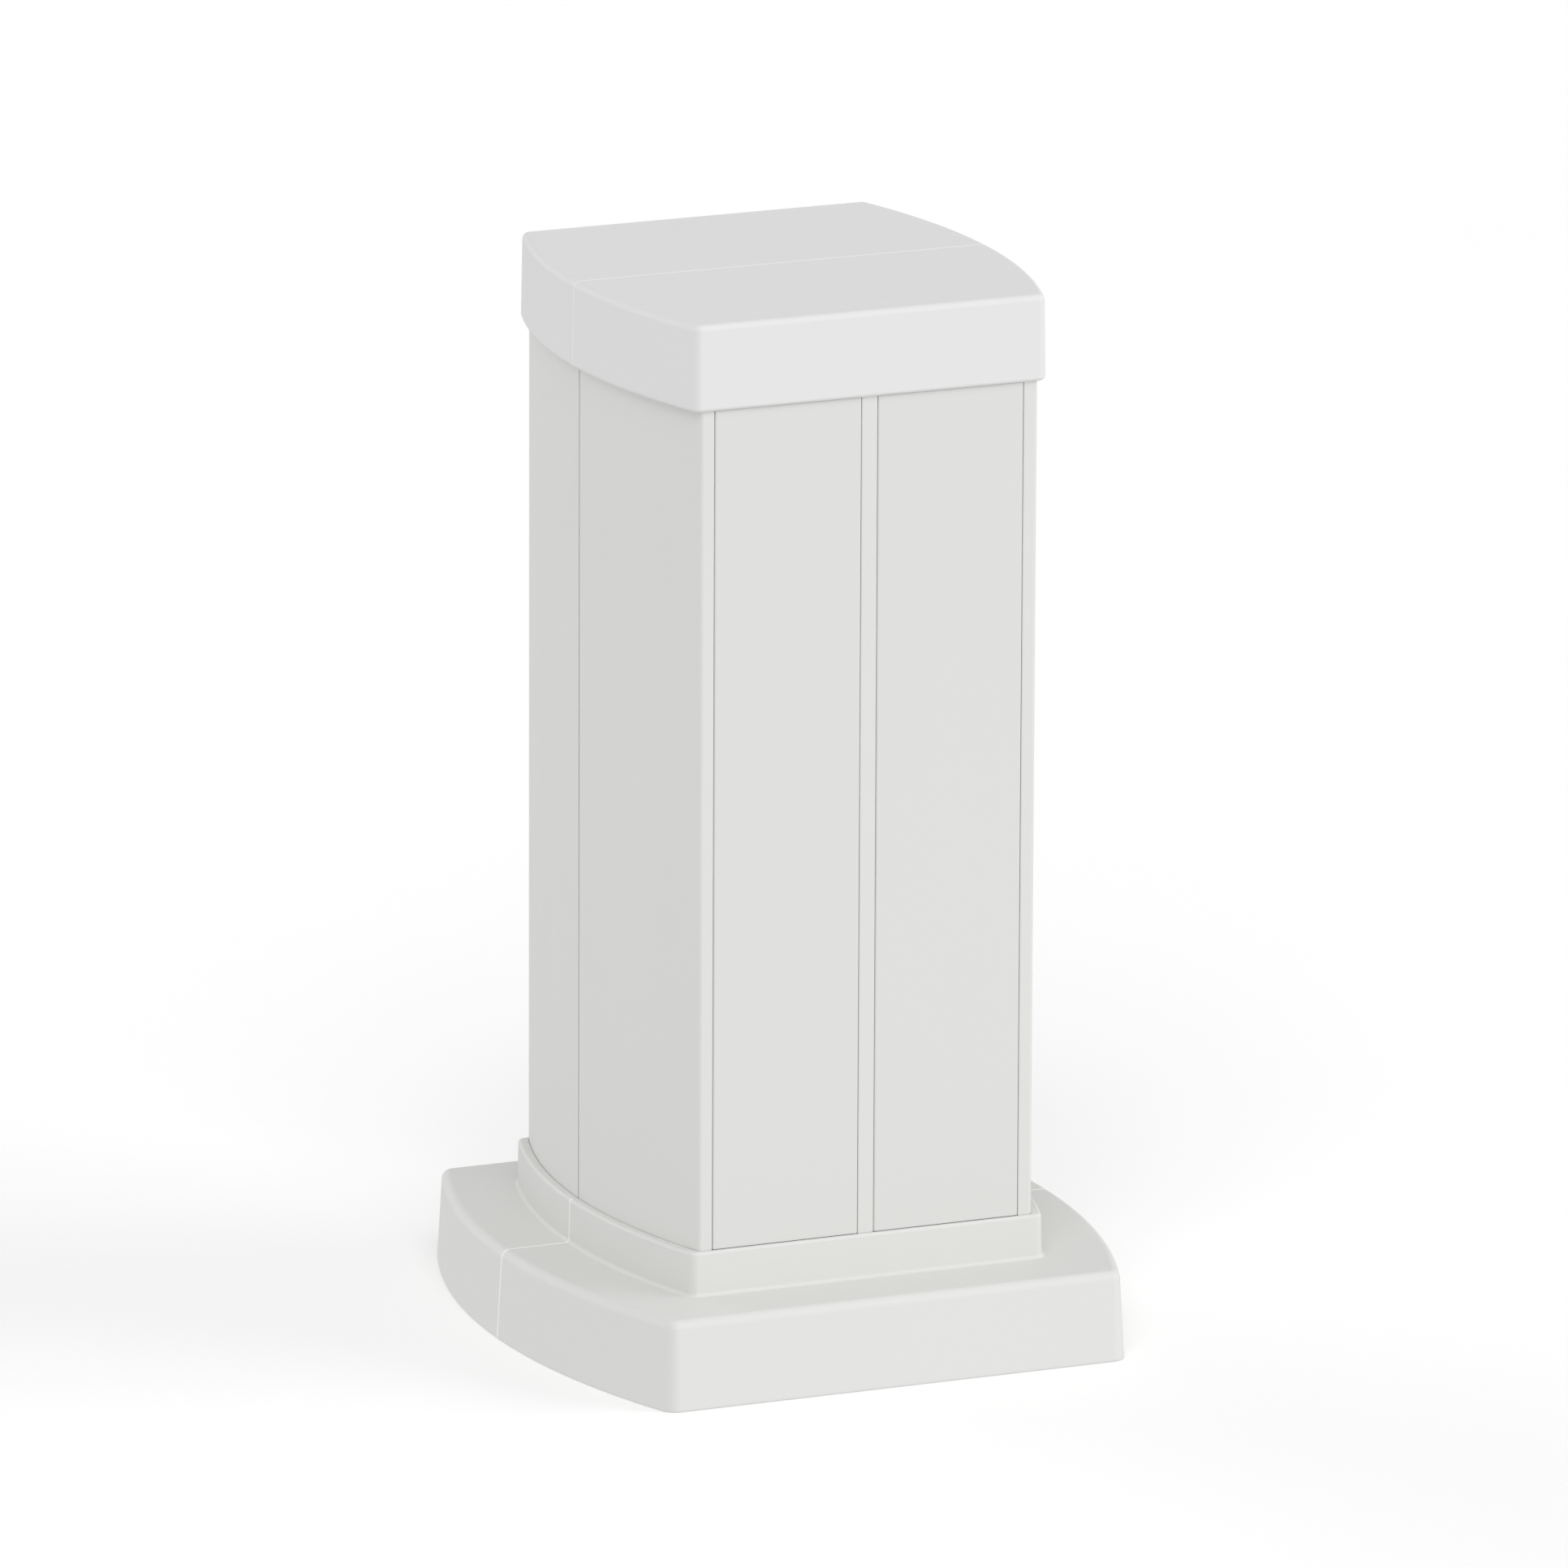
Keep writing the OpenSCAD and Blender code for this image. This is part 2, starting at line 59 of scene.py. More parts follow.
class Nodes:
    """A short way to write a node tree."""

    def __init__(self, name):
        self.mat = bpy.data.materials.new(name)
        self.mat.use_nodes = True
        self.t = self.mat.node_tree
        self.t.nodes.clear()
        self.out = self.add("ShaderNodeOutputMaterial")
        self.bsdf = self.add("ShaderNodeBsdfPrincipled")
        self.link(self.bsdf, "BSDF", self.out, "Surface")
        self.co = self.add("ShaderNodeTexCoord")

    def add(self, kind, **values):
        n = self.t.nodes.new(kind)
        for k, v in values.items():
            if k in n.inputs:
                n.inputs[k].default_value = v
            else:
                setattr(n, k, v)
        return n

    def link(self, a, out, b, into):
        self.t.links.new(a.outputs[out], b.inputs[into])

    def coords(self, scale=(1, 1, 1)):
        m = self.add("ShaderNodeMapping")
        m.inputs["Scale"].default_value = scale
        self.link(self.co, "Object", m, "Vector")
        return m

    def noise(self, scale, detail=2.0, rough=0.5, stretch=(1, 1, 1), distortion=0.0):
        m = self.coords(stretch)
        n = self.add("ShaderNodeTexNoise")
        n.inputs["Scale"].default_value = scale
        n.inputs["Detail"].default_value = detail
        n.inputs["Roughness"].default_value = rough
        n.inputs["Distortion"].default_value = distortion
        self.link(m, "Vector", n, "Vector")
        return n

    def voronoi(self, scale, feature="F1", stretch=(1, 1, 1)):
        m = self.coords(stretch)
        n = self.add("ShaderNodeTexVoronoi")
        n.feature = feature
        n.inputs["Scale"].default_value = scale
        self.link(m, "Vector", n, "Vector")
        return n

    def remap(self, src, out, lo, hi, a=0.3, b=0.7):
        r = self.add("ShaderNodeMapRange")
        r.inputs["From Min"].default_value = a
        r.inputs["From Max"].default_value = b
        r.inputs["To Min"].default_value = lo
        r.inputs["To Max"].default_value = hi
        self.link(src, out, r, "Value")
        return r

    def blend(self, fac, fac_out, dark, light):
        m = self.add("ShaderNodeMix", data_type="RGBA")
        self.t.links.new(fac.outputs[fac_out], m.inputs[0])
        m.inputs[6].default_value = (*dark, 1)
        m.inputs[7].default_value = (*light, 1)
        return m

    def colour(self, mix):
        self.t.links.new(mix.outputs[2], self.bsdf.inputs["Base Color"])

    def bumps(self, layers):
        """layers: (node, output name, height in metres). The last one sits on top."""
        last = None
        for n, out, height in layers:
            b = self.add("ShaderNodeBump")
            b.inputs["Strength"].default_value = 1.0
            b.inputs["Distance"].default_value = height
            self.link(n, out, b, "Height")
            if last is not None:
                self.link(last, "Normal", b, "Normal")
            last = b
        self.link(last, "Normal", self.bsdf, "Normal")

    def fixed(self, **values):
        for k, v in values.items():
            self.bsdf.inputs[k.replace("_", " ")].default_value = v
        return self


def tint(c, f):
    return tuple(min(1.0, v * f) for v in c)


COAT_WHITE = (0.682, 0.682, 0.667)
BASE_WHITE = (0.684, 0.684, 0.669)
CAP_WHITE = (0.712, 0.712, 0.711)
COVER_WHITE = (0.668, 0.668, 0.654)


def powder_coat():
    """White powder coat on aluminium: fine orange peel, satin."""
    m = Nodes("white_powder_coat")
    soft = m.noise(11.0, 3.0)
    m.colour(m.blend(soft, "Fac", tint(COAT_WHITE, 0.985), tint(COAT_WHITE, 1.012)))
    r = m.remap(m.noise(70.0, 3.0), "Fac", 0.50, 0.62)
    m.link(r, "Result", m.bsdf, "Roughness")
    m.bumps([(m.noise(620.0, 2.0), "Fac", 0.000012), (m.noise(2100.0, 2.0), "Fac", 0.000004)])
    return m.fixed(Specular_IOR_Level=0.4, IOR=1.5).mat


def cut_aluminium():
    """The sawn ends of the extrusions, where the coat stops and bare metal shows."""
    m = Nodes("sawn_aluminium")
    streak = m.noise(900.0, 4.0, stretch=(1.0, 0.03, 1.0))
    m.colour(m.blend(streak, "Fac", (0.58, 0.59, 0.60), (0.78, 0.79, 0.80)))
    r = m.remap(streak, "Fac", 0.28, 0.48)
    m.link(r, "Result", m.bsdf, "Roughness")
    m.bumps([(streak, "Fac", 0.00002)])
    return m.fixed(Metallic=1.0).mat


def bare_joint_painted_shade():
    """The uncoated mating faces between the two extrusions: bare metal, given a dark grey that is painted shade,
    darkening the seam line as the gap's shadow would.
    """
    m = Nodes("bare_joint_face_painted_shade")
    streak = m.noise(500.0, 3.0, stretch=(1.0, 1.0, 0.05))
    # Dark grey 0.20-0.30 on the slot walls: painted shade for the seam's dark line.
    m.colour(m.blend(streak, "Fac", (0.20, 0.20, 0.20), (0.30, 0.30, 0.29)))
    r = m.remap(streak, "Fac", 0.55, 0.70)
    m.link(r, "Result", m.bsdf, "Roughness")
    m.bumps([(streak, "Fac", 0.00001)])
    return m.fixed(Specular_IOR_Level=0.4).mat


def moulded_plastic(name, white):
    """White moulded plastic with a fine spark-eroded texture."""
    m = Nodes(name)
    soft = m.noise(8.0, 3.0)
    m.colour(m.blend(soft, "Fac", tint(white, 0.988), tint(white, 1.010)))
    r = m.remap(m.noise(240.0, 3.0), "Fac", 0.58, 0.70)
    m.link(r, "Result", m.bsdf, "Roughness")
    m.bumps([(m.noise(30.0, 1.0), "Fac", 0.00002), (m.noise(1500.0, 3.0, 0.6), "Fac", 0.000010)])
    return m.fixed(Specular_IOR_Level=0.35, IOR=1.49).mat


def cover_plastic():
    """White extruded plastic: smooth, with the faintest drawing lines along its length."""
    m = Nodes("white_extruded_plastic")
    soft = m.noise(9.0, 3.0, stretch=(1, 1, 0.35))
    m.colour(m.blend(soft, "Fac", tint(COVER_WHITE, 0.987), tint(COVER_WHITE, 1.010)))
    lines = m.noise(1400.0, 3.0, 0.6, stretch=(1, 1, 0.004))
    r = m.remap(lines, "Fac", 0.46, 0.56)
    m.link(r, "Result", m.bsdf, "Roughness")
    m.bumps([(m.noise(45.0, 1.0, stretch=(1, 1, 0.2)), "Fac", 0.00002), (lines, "Fac", 0.000004)])
    return m.fixed(Specular_IOR_Level=0.4, IOR=1.52).mat


def zinc():
    """Bright zinc plating on steel, with a soft blotchy passivation."""
    m = Nodes("zinc_plated_steel")
    cells = m.voronoi(160.0, "SMOOTH_F1")
    cloud = m.noise(90.0, 4.0, 0.6)
    mix = m.blend(cells, "Distance", (0.50, 0.52, 0.54), (0.70, 0.71, 0.71))
    tone = m.add("ShaderNodeMix", data_type="RGBA", blend_type="MULTIPLY")
    tone.inputs[0].default_value = 0.6
    m.t.links.new(mix.outputs[2], tone.inputs[6])
    warm = m.blend(cloud, "Fac", (0.80, 0.82, 0.88), (1.0, 0.99, 0.93))
    m.t.links.new(warm.outputs[2], tone.inputs[7])
    m.colour(tone)
    r = m.remap(cloud, "Fac", 0.24, 0.42)
    m.link(r, "Result", m.bsdf, "Roughness")
    m.bumps([(m.noise(700.0, 3.0), "Fac", 0.000006)])
    return m.fixed(Metallic=1.0).mat


def tinned():
    """Tin plating on copper."""
    m = Nodes("tinned_copper")
    cloud = m.noise(260.0, 4.0, 0.6)
    m.colour(m.blend(cloud, "Fac", (0.66, 0.64, 0.60), (0.84, 0.83, 0.80)))
    r = m.remap(cloud, "Fac", 0.22, 0.38)
    m.link(r, "Result", m.bsdf, "Roughness")
    m.bumps([(m.noise(1200.0, 2.0), "Fac", 0.000008)])
    return m.fixed(Metallic=1.0).mat


def brass():
    """Turned brass, slightly dulled."""
    m = Nodes("plain_brass")
    cloud = m.noise(220.0, 4.0, 0.6)
    m.colour(m.blend(cloud, "Fac", (0.62, 0.46, 0.20), (0.80, 0.64, 0.32)))
    r = m.remap(cloud, "Fac", 0.20, 0.40)
    m.link(r, "Result", m.bsdf, "Roughness")
    m.bumps([(m.noise(1500.0, 2.0, stretch=(1, 1, 4)), "Fac", 0.000006)])
    return m.fixed(Metallic=1.0).mat


def rubber():
    """Matt black rubber edging."""
    m = Nodes("black_rubber")
    cloud = m.noise(120.0, 4.0, 0.6)
    m.colour(m.blend(cloud, "Fac", (0.018, 0.018, 0.019), (0.036, 0.035, 0.034)))
    r = m.remap(cloud, "Fac", 0.62, 0.80)
    m.link(r, "Result", m.bsdf, "Roughness")
    m.bumps([(m.noise(1800.0, 3.0, 0.6), "Fac", 0.00002)])
    return m.fixed(Specular_IOR_Level=0.35).mat


def insulation(name, dark, light):
    """Glossy soft insulation of a bonding lead."""
    m = Nodes(name)
    cloud = m.noise(180.0, 3.0)
    m.colour(m.blend(cloud, "Fac", dark, light))
    r = m.remap(cloud, "Fac", 0.30, 0.42)
    m.link(r, "Result", m.bsdf, "Roughness")
    m.bumps([(m.noise(900.0, 2.0), "Fac", 0.00001)])
    return m.fixed(Specular_IOR_Level=0.5).mat


MAT = {
    "coat": powder_coat(),
    "sawn": cut_aluminium(),
    # joint: the bare mating faces, in a dark grey that paints shade into the seam line.
    "joint": bare_joint_painted_shade(),
    "cap": moulded_plastic("white_moulded_cap", CAP_WHITE),
    "base": moulded_plastic("white_moulded_base", BASE_WHITE),
    # The cap's and base's seam roundings get a lighter white (x1.12, x1.24): painted highlight along the seams.
    "cap_seam_highlight": moulded_plastic("white_moulded_cap_seam_painted_highlight", tint(CAP_WHITE, 1.12)),
    "base_seam_highlight": moulded_plastic("white_moulded_base_seam_painted_highlight", tint(BASE_WHITE, 1.24)),
    "cover": cover_plastic(),
    "zinc": zinc(),
    "tinned": tinned(),
    "brass": brass(),
    "rubber": rubber(),
    "green": insulation("lead_green", (0.03, 0.22, 0.04), (0.05, 0.30, 0.06)),
    "yellow": insulation("lead_yellow", (0.72, 0.58, 0.05), (0.85, 0.70, 0.09)),
}

# ------------------------------------------------------------- mesh utilities


def finish_mesh(obj, angle=32.0, weighted=True):
    """Smooth shading with sharp edges kept, and flat faces that shade flat."""
    me = obj.data
    for p in me.polygons:
        p.use_smooth = True
    me.set_sharp_from_angle(angle=math.radians(angle))
    if weighted:
        w = obj.modifiers.new("weighted_normal", "WEIGHTED_NORMAL")
        w.keep_sharp = True
        w.weight = 60
        w.mode = "FACE_AREA"
    return obj


def new_object(name, bm, mats):
    """bm is in millimetres."""
    bmesh.ops.scale(bm, vec=(MM, MM, MM), verts=bm.verts)
    me = bpy.data.meshes.new(name)
    bm.to_mesh(me)
    bm.free()
    for m in mats:
        me.materials.append(m)
    obj = bpy.data.objects.new(name, me)
    bpy.context.scene.collection.objects.link(obj)
    return obj


def apply_modifiers(obj):
    dg = bpy.context.evaluated_depsgraph_get()
    me = bpy.data.meshes.new_from_object(obj.evaluated_get(dg))
    old = obj.data
    obj.modifiers.clear()
    obj.data = me
    bpy.data.meshes.remove(old)
    return obj


def boolean(obj, others, how):
    for o in others:
        b = obj.modifiers.new("b", "BOOLEAN")
        b.operation = how
        b.solver = "EXACT"
        b.object = o
    bpy.context.view_layer.update()
    apply_modifiers(obj)
    for o in others:
        me = o.data
        bpy.data.objects.remove(o)
        bpy.data.meshes.remove(me)
    return obj


def turned(obj, name):
    """A copy turned half a turn about Z: the rear twin of a front piece."""
    me = obj.data.copy()
    me.transform(Matrix.Rotation(math.pi, 4, "Z"))
    o = bpy.data.objects.new(name, me)
    bpy.context.scene.collection.objects.link(o)
    return o


def place(obj, body, node, slot, *more):
    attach(obj, body)
    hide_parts(node, *more)
    return obj


def bevel_edges(bm, edges, width, segments=2, clamp=False, material=-1):
    bmesh.ops.bevel(
        bm,
        geom=list(edges),
        offset=width,
        offset_type="OFFSET",
        segments=segments,
        profile=0.5,
        affect="EDGES",
        clamp_overlap=clamp,
        material=material,
    )


def block(x0, x1, y0, y1, z0, z1, r=0.25):
    bm = bmesh.new()
    bmesh.ops.create_cube(bm, size=1.0)
    for v in bm.verts:
        v.co = Vector((x0 + (v.co.x + 0.5) * (x1 - x0), y0 + (v.co.y + 0.5) * (y1 - y0), z0 + (v.co.z + 0.5) * (z1 - z0)))
    if r:
        bevel_edges(bm, bm.edges, r, 2)
    return new_object("block", bm, [])


def lathe(profile, n=48):
    """Closed solid of revolution about Z. profile: (radius, height) from axis to axis."""
    bm = bmesh.new()
    rings = []
    for r, z in profile:
        if r < 1e-6:
            rings.append([bm.verts.new((0, 0, z))])
        else:
            rings.append([bm.verts.new((r * math.cos(2 * math.pi * k / n), r * math.sin(2 * math.pi * k / n), z)) for k in range(n)])
    for a, b in zip(rings, rings[1:]):
        for k in range(n):
            j = (k + 1) % n
            if len(a) == 1 and len(b) == 1:
                continue
            if len(a) == 1:
                bm.faces.new((a[0], b[j], b[k]))
            elif len(b) == 1:
                bm.faces.new((a[k], a[j], b[0]))
            else:
                bm.faces.new((a[k], a[j], b[j], b[k]))
    bmesh.ops.recalc_face_normals(bm, faces=bm.faces)
    return bm


def round_corner(p, q, s, r, n=4):
    """Points that round the corner q of the path p-q-s with radius about r."""
    p, q, s = np.array(p, float), np.array(q, float), np.array(s, float)
    a, b = p - q, s - q
    la, lb = np.linalg.norm(a), np.linalg.norm(b)
    a, b = a / la, b / lb
    cos = float(np.clip(a @ b, -1, 1))
    half = math.acos(cos) / 2
    t = r / math.tan(half)
    lim = 0.45 * min(la, lb)
    if t > lim:
        t = lim
        r = t * math.tan(half)
    c = q + (a + b) / np.linalg.norm(a + b) * (r / math.sin(half))
    s0, s1 = q + a * t - c, q + b * t - c
    a0, a1 = math.atan2(s0[1], s0[0]), math.atan2(s1[1], s1[0])
    d = (a1 - a0 + math.pi) % (2 * math.pi) - math.pi
    return [c + r * np.array([math.cos(a0 + d * k / n), math.sin(a0 + d * k / n)]) for k in range(n + 1)]


def rounded_profile(points, r, n=3):
    out = []
    for k, q in enumerate(points):
        if k in (0, len(points) - 1):
            out.append(tuple(q))
        else:
            out += [tuple(v) for v in round_corner(points[k - 1], q, points[k + 1], r, n)]
    return out


def thread(r_out, depth, pitch, z0, z1, n=28, per=8):
    """Solid threaded rod with a real helix, closed at both ends."""
    bm = bmesh.new()
    rows = max(4, int(round((z1 - z0) / pitch * per)))
    rings = []
    for i in range(rows + 1):
        z = z0 + (z1 - z0) * i / rows
        end = min(1.0, (z1 - z) / (1.2 * pitch), (z - z0) / (0.6 * pitch) + 0.35)
        ring = []
        for k in range(n):
            f = (z / pitch - k / n) % 1.0
            tri = 1 - abs(2 * f - 1)
            r = r_out - depth + depth * min(1.0, tri * 1.25) * max(end, 0)
            a = 2 * math.pi * k / n
            ring.append(bm.verts.new((r * math.cos(a), r * math.sin(a), z)))
        rings.append(ring)
    for a, b in zip(rings, rings[1:]):
        for k in range(n):
            j = (k + 1) % n
            bm.faces.new((a[k], a[j], b[j], b[k]))
    bm.faces.new(rings[-1])
    bm.faces.new(list(reversed(rings[0])))
    bmesh.ops.recalc_face_normals(bm, faces=bm.faces)
    return bm


def bm_object(bm):
    return new_object("tool", bm, [])


def join(objs, name, mats):
    """Joins meshes in the row frame into one object; keeps each one's first material."""
    bm = bmesh.new()
    for o in objs:
        me = o.data
        bm.from_mesh(me)
    me = bpy.data.meshes.new(name)
    bm.to_mesh(me)
    bm.free()
    for m in mats:
        me.materials.append(m)
    obj = bpy.data.objects.new(name, me)
    bpy.context.scene.collection.objects.link(obj)
    for o in objs:
        me = o.data
        bpy.data.objects.remove(o)
        if me.users == 0:
            bpy.data.meshes.remove(me)
    return obj


def copies(proto, places):
    out = []
    for m in places:
        me = proto.data.copy()
        me.transform(m)
        o = bpy.data.objects.new("copy", me)
        bpy.context.scene.collection.objects.link(o)
        out.append(o)
    me = proto.data
    bpy.data.objects.remove(proto)
    if me.users == 0:
        bpy.data.meshes.remove(me)
    return out


def at(x, y, z, rx=0.0, ry=0.0, rz=0.0):
    return (
        Matrix.Translation((x * MM, y * MM, z * MM))
        @ Matrix.Rotation(math.radians(rz), 4, "Z")
        @ Matrix.Rotation(math.radians(ry), 4, "Y")
        @ Matrix.Rotation(math.radians(rx), 4, "X")
    )


# ------------------------------------------------------ sizes, as in the CAD

col_lo, col_hi = mm_box("front_body")
plate_lo, plate_hi = mm_box("floor_plate")
cap_lo, cap_hi = mm_box("cap_front")
base_lo, base_hi = mm_box("base_cover_front")
COLUMN_D, COLUMN_BOW, CORNER_R = -2 * col_lo[1], 10.7, 1.2
FACE_W = 2 * (col_hi[0] - COLUMN_BOW)
COLUMN = (FACE_W, COLUMN_D, COLUMN_BOW, CORNER_R)
CAP = (FACE_W + 4.3, COLUMN_D + 2.5, COLUMN_BOW, 2.9)
COLLAR = (FACE_W + 5.8, COLUMN_D + 3.5, COLUMN_BOW, CORNER_R + 1.75)
BASE_BOW = 17.0
BASE = (2 * (base_hi[0] - BASE_BOW), -2 * base_lo[1], BASE_BOW, 5.0)
WALL, BACK_T = 1.8, 2.0
COL_Z0, COL_Z1 = col_lo[2], col_hi[2]
TOP_Z = cap_hi[2]
CAP_Z = cap_lo[2] + 12
BASE_H, COLLAR_Z = 26.2, base_hi[2]
CUT = 0.02
GAP = 0.10


def bow(o, i=0.0):
    """Radius and centre offset of an outline's bowed side, drawn inset by i."""
    w, d, b, _ = o
    r = (d * d / 4 + b * b) / (2 * b)
    return r - i, w / 2 + b - r


def half_w(o, i, y):
    r, c = bow(o, i)
    return c + math.sqrt(r * r - y * y)


def half_ring(o, i, z, cut=CUT, nb=34, nc=10):
    """The front half of an outline, from the right-hand cut round to the left-hand one."""
    R, c = bow(o, i)
    r = max(o[3] - i, 0.2)
    y = o[1] / 2 - i - r
    x = c + math.sqrt((R - r) ** 2 - y * y)
    p = math.asin(y / (R - r))
    t0 = math.asin(cut / R)
    right = [(c + R * math.cos(t), -R * math.sin(t)) for t in (t0 + (p - t0) * k / nb for k in range(nb + 1))]
    right += [(x + r * math.cos(t), -y - r * math.sin(t)) for t in (p + (math.pi / 2 - p) * k / nc for k in range(1, nc + 1))]
    left = [(-a, b) for a, b in reversed(right)]
    return [(a, b, z) for a, b in right + left]


def shell(rings, closed, seam, first, last):
    """Half shell through rings; its seam edges are rounded, so a hairline shows at the joint, and the rounding faces
    take material slot 1, which the cap and base fill with a lighter white as a painted highlight along the seam.
    """
    bm = bmesh.new()
    grid = [[bm.verts.new(q) for q in ring] for ring in rings]
    n = len(grid[0])
    pairs = list(zip(grid, grid[1:])) + ([(grid[-1], grid[0])] if closed else [])
    for a, b in pairs:
        for k in range(n - 1):
            bm.faces.new((a[k], a[k + 1], b[k + 1], b[k]))
    right = [g[0] for g in grid]
    left = [g[-1] for g in grid]
    if closed:
        cuts = [bm.faces.new(right), bm.faces.new(list(reversed(left)))]
    else:
        bm.faces.new(grid[0])
        bm.faces.new(list(reversed(grid[-1])))
        cuts = [bm.faces.new(right + list(reversed(left)))]
    bmesh.ops.recalc_face_normals(bm, faces=bm.faces)
    shown = set(right[first:last] + left[first:last])
    # Material slot 1 on the rounded seam faces is a lighter white, a painted highlight along the joint.
    bevel_edges(bm, {e for f in cuts for e in f.edges if e.verts[0] in shown and e.verts[1] in shown}, seam, 4, material=1)
    return bm


# ---------------------------------------------------------------- cap halves

N_RND = 9
CAP_DRAFT, CAP_RT, CAP_RB, CAP_WALL = 0.4, 1.8, 1.2, 2.2


def cap_half():
    z0, z1 = CAP_Z, TOP_Z
    d = CAP_DRAFT / (z1 - z0)
    inner = [
        (z1 - CAP_WALL - 0.2, CAP_WALL + CAP_DRAFT + 1.0),
        (z1 - CAP_WALL - 0.35, CAP_WALL + CAP_DRAFT + 0.6),
        (z1 - CAP_WALL - 0.6, CAP_WALL + CAP_DRAFT + 0.3),
        (z1 - CAP_WALL - 1.2, CAP_WALL + CAP_DRAFT),
        (z0 + 2, CAP_WALL + 0.2),
        (z0, CAP_WALL + 0.2),
    ]
    angles = [math.pi / 2 * k / N_RND for k in range(N_RND + 1)]
    lower = [(z0 + CAP_RB * (1 - math.cos(a)), CAP_RB * (1 - math.sin(a)) + d * CAP_RB * (1 - math.cos(a))) for a in angles]
    upper = [(z1 - CAP_RT * (1 - math.sin(a)), CAP_DRAFT - d * CAP_RT * (1 - math.sin(a)) + CAP_RT * (1 - math.cos(a))) for a in angles]
    rings = [half_ring(CAP, i, z) for z, i in inner + lower + upper]
    cap = new_object("cap_front_visual", shell(rings, False, 0.30, len(inner), len(rings)), [MAT["cap"], MAT["cap_seam_highlight"]])
    yb = -BACK_T - 0.3
    parts = []
    for s in (-1, 1):
        parts.append(block(s * 26 - 13, s * 26 + 13, yb - 2, yb, z0 - 12, z1 - CAP_WALL + 0.6))
        x = half_w(COLUMN, WALL, 34) - 1.3
        parts.append(block(s * x - 1, s * x + 1, -34, -20, z0 - 12, z1 - CAP_WALL + 0.6))
    parts.append(block(-0.8, 0.8, -COLUMN_D / 2 + 2, -CUT - 0.3, z1 - CAP_WALL - 4, z1 - CAP_WALL + 0.6, 0.2))
    boolean(cap, parts, "UNION")
    return cap


cap = cap_half()
cap_rear = turned(cap, "cap_rear_visual")
for o in (cap, cap_rear):
    finish_mesh(o)
place(cap, "cap_front", "cap_front", "white_moulded_plastic")
place(cap_rear, "cap_rear", "cap_rear", "white_moulded_plastic")

# --------------------------------------------------------- base cover halves

B_DRAFT, B_RT, B_RF, B_RC, B_WALL = 1.5, 2.5, 1.2, 0.9, 2.5


def base_half():
    g = B_DRAFT / BASE_H
    roof = BASE_H - B_WALL
    angles = [math.pi / 2 * k / N_RND for k in range(N_RND + 1)]
    rings = [half_ring(BASE, 0.3, 0.0), half_ring(BASE, 0.12, 0.06), half_ring(BASE, 0.02, 0.25)]
    rings += [half_ring(BASE, g * z, z) for z in (1.0, 8.0, 16.0, BASE_H - B_RT - 0.6)]
    rings += [half_ring(BASE, B_DRAFT - g * B_RT * (1 - math.sin(a)) + B_RT * (1 - math.cos(a)), BASE_H - B_RT * (1 - math.sin(a))) for a in angles]
    rings += [half_ring(COLLAR, -B_RF * (1 - math.sin(a)), BASE_H + B_RF * (1 - math.cos(a))) for a in angles]
    rings += [half_ring(COLLAR, 0.2 + B_RC * (1 - math.cos(a)), COLLAR_Z - B_RC * (1 - math.sin(a))) for a in angles]
    outside = len(rings)
    rings += [half_ring(COLUMN, -GAP - i, z) for i, z in ((0.15, COLLAR_Z), (0.04, COLLAR_Z - 0.04), (0.0, COLLAR_Z - 0.15))]
    rings += [half_ring(COLUMN, -GAP, z) for z in (COLLAR_Z - 1.0, BASE_H, roof)]
    rings += [half_ring(BASE, B_WALL + B_DRAFT + i, z) for i, z in ((2.2, roof), (1.2, roof - 0.25), (0.6, roof - 1.0), (0.0, roof - 3.0))]
    rings += [half_ring(BASE, B_WALL, 0.0)]
    base = new_object("base_cover_front_visual", shell(rings, True, 0.40, 1, outside), [MAT["base"], MAT["base_seam_highlight"]])
    side = half_w(BASE, B_WALL, 0) - B_DRAFT
    y0 = -BASE[1] / 2
    parts = []
    for x in (-22, 22):
        parts.append(block(x - 0.8, x + 0.8, y0 + B_WALL - 0.6, -COLUMN_D / 2 - 1.2, 10, roof + 0.8, 0.2))
    parts.append(block(side - 3.9, side - 1.9, -10, 8, 4, 18, 0.3))
    parts.append(block(side - 3.0, side + 1.1, -9.6, -5.2, 4.6, 17.4, 0.3))
    pocket = block(-side - 1, -side + 6.6, -10, -1, 1.6, 20.4, 0.3)
    boolean(pocket, [block(-side + 1.6, -side + 4.2, -11, 1, 3.6, 18.4, 0.3)], "DIFFERENCE")
    parts.append(pocket)
    boolean(base, parts, "UNION")
    return base


base = base_half()
base_rear = turned(base, "base_cover_rear_visual")
for o in (base, base_rear):
    finish_mesh(o)
place(base, "base_cover_front", "base_cover_front", "white_moulded_plastic")
place(base_rear, "base_cover_rear", "base_cover_rear", "white_moulded_plastic")

# ------------------------------------------------- extrusions and the covers


